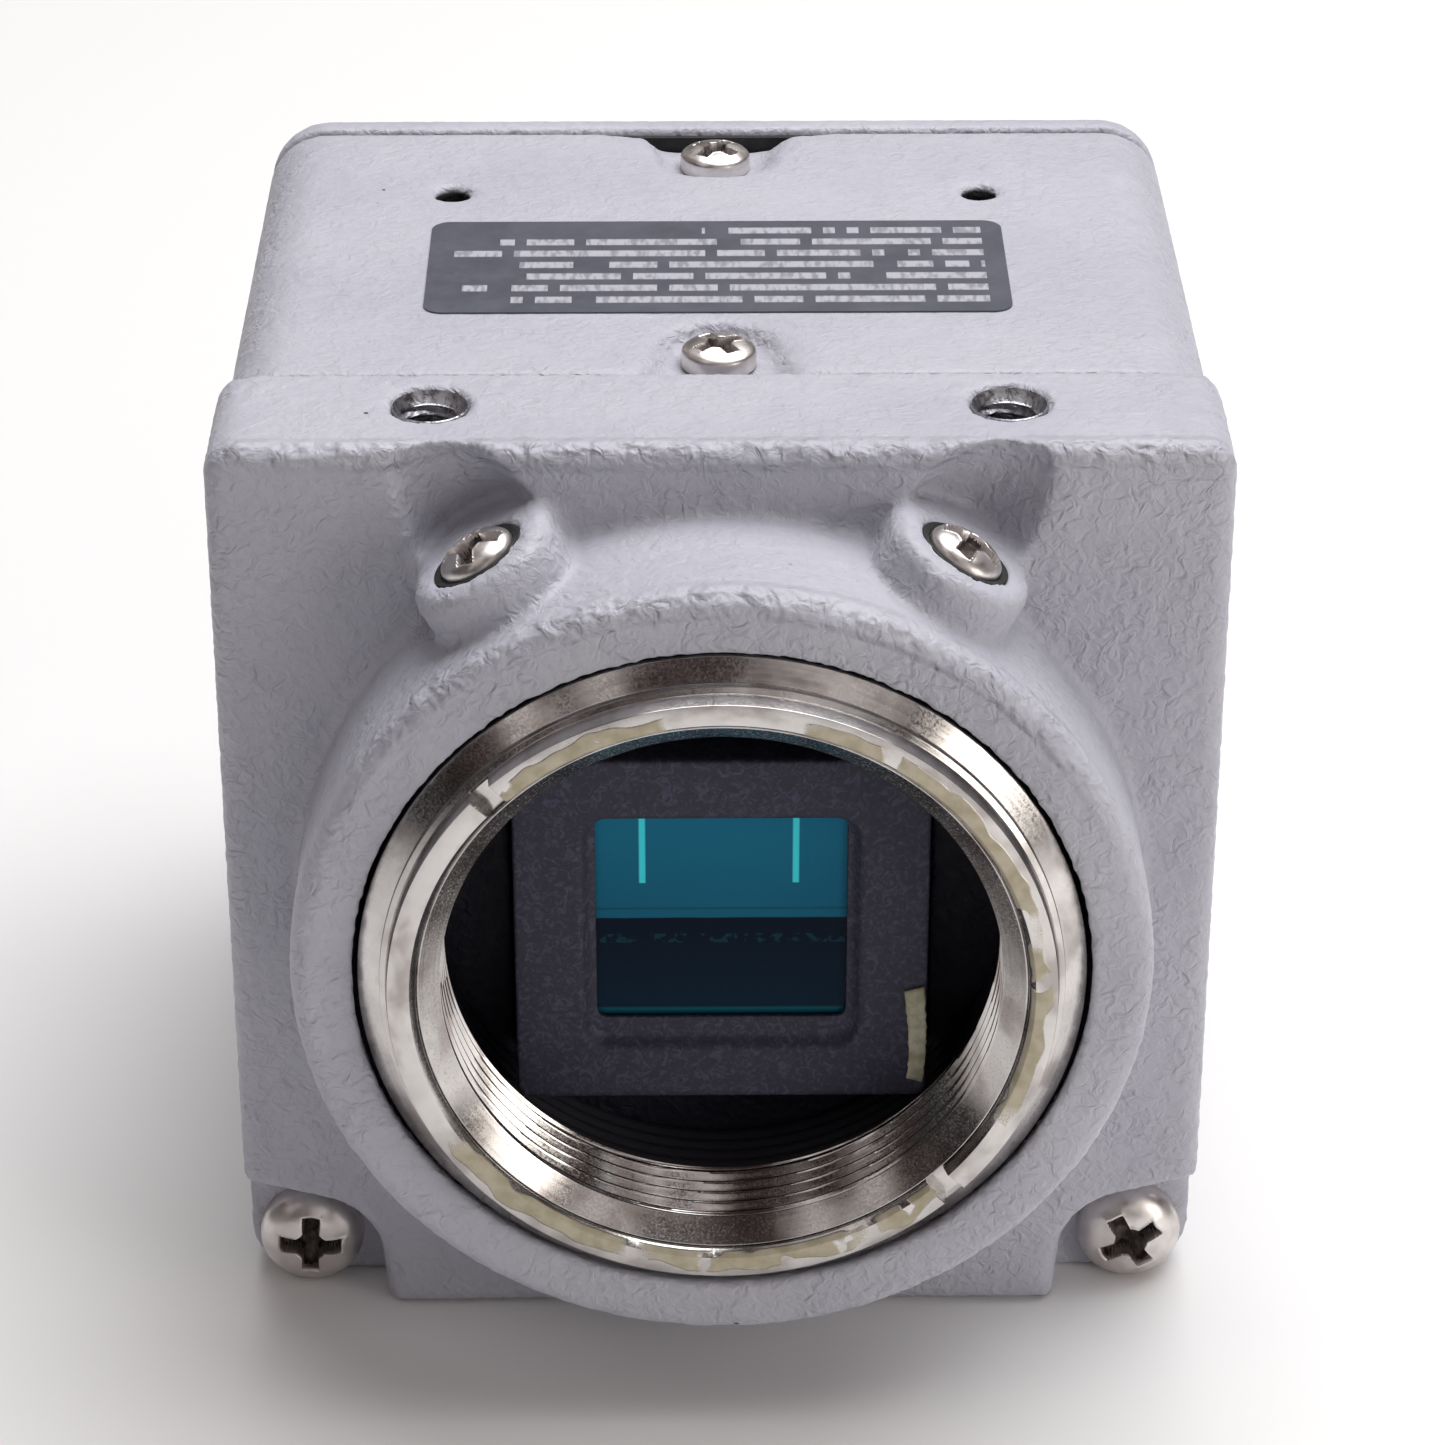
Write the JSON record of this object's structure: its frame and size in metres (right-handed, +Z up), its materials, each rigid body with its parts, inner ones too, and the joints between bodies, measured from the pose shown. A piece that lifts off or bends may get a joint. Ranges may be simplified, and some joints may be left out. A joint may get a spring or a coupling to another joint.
{
  "type": "machine vision camera",
  "caption": "Compact cube-shaped industrial camera with a threaded lens mount, adjustable mount ring, open sensor window, die-cast front and rear connectors.",
  "frame": {"origin": "centre of the lens flange face, on the lens axis", "axes": "-Y looks out of the lens mount, +Y runs to the rear panel, +X is to the right seen from the front, +Z is up"},
  "size_m": [0.0448, 0.0547, 0.0453],
  "materials": {
    "grey_paint": "fine crinkle paint",
    "mount_steel": "turned and polished",
    "screw_steel": "nickel plated",
    "label": "printed film",
    "holder_plastic": "moulded, fine grain",
    "filter_glass": "polished, teal",
    "clear_glass": "polished",
    "seal_rubber": "matt",
    "ceramic": "matt",
    "silicon": "polished",
    "circuit_board": "solder mask",
    "black_plastic": "moulded",
    "contact_gold": "gold flash",
    "connector_metal": "satin nickel",
    "spacer_metal": "plated",
    "led_lens": "clear moulded"
  },
  "bodies": {
    "camera_body": {"base_tray": "grey_paint", "clock_crystal": "connector_metal", "connector_board": "circuit_board", "corner_screws": "screw_steel", "cover_screws": "screw_steel", "digital_connector_contacts": "contact_gold", "digital_connector_insert": "black_plastic", "digital_connector_shell": "connector_metal", "dust_seal": "seal_rubber", "filter_holder": "holder_plastic", "front_housing": "grey_paint", "front_spacers": "spacer_metal", "holder_screws": "screw_steel", "image_processor": "black_plastic", "ir_cut_filter": "filter_glass", "jack_posts": "connector_metal", "label_plate": "label", "line_driver_chips": "black_plastic", "memory_chips": "black_plastic", "output_link_plug": "black_plastic", "output_link_socket": "black_plastic", "power_board": "circuit_board", "power_capacitors": "connector_metal", "power_inductors": "black_plastic", "power_link_plug": "black_plastic", "power_link_socket": "black_plastic", "power_spacers": "spacer_metal", "rear_gasket": "seal_rubber", "rear_panel": "grey_paint", "rear_panel_screws": "screw_steel", "rear_spacers": "spacer_metal", "round_connector_contacts": "contact_gold", "round_connector_insert": "black_plastic", "round_connector_nut": "connector_metal", "round_connector_shell": "connector_metal", "sensor_board": "circuit_board", "sensor_cover_glass": "clear_glass", "sensor_die": "silicon", "sensor_driver_chips": "black_plastic", "sensor_leads": "contact_gold", "sensor_link_plug": "black_plastic", "sensor_link_socket": "black_plastic", "sensor_package": "ceramic", "signal_board": "circuit_board", "signal_spacers": "spacer_metal", "stack_screws": "screw_steel", "status_led": "led_lens", "tray_screws": "screw_steel", "upper_cover": "grey_paint"},
    "mount_barrel": {"lens_barrel": "mount_steel"},
    "mount_ring": {"adjusting_ring": "mount_steel"},
    "left_lock_screw": {"lock_screw_left": "screw_steel"},
    "right_lock_screw": {"lock_screw_right": "screw_steel"}
  },
  "joints": [
    {"name": "flange_travel", "type": "slide", "parent": "camera_body", "child": "mount_barrel", "axis": [0, -1, 0], "range_m": [-0.00025, 0.0005]},
    {"name": "ring_turn", "type": "hinge", "parent": "mount_barrel", "child": "mount_ring", "pos_m": [0, 0.005, 0], "axis": [0, -1, 0], "range_deg": [-180, 360]},
    {"name": "left_lock_turn", "type": "hinge", "parent": "camera_body", "child": "left_lock_screw", "pos_m": [-0.0095, 0.007, 0.01645], "axis": [-0.5, 0, 0.866], "range_deg": [0, 360]},
    {"name": "right_lock_turn", "type": "hinge", "parent": "camera_body", "child": "right_lock_screw", "pos_m": [0.0095, 0.007, 0.01645], "axis": [0.5, 0, 0.866], "range_deg": [0, 360]}
  ],
  "couplings": [
    {"joint": "flange_travel", "follows": "ring_turn", "m_per_rad": 0.000079577}
  ]
}
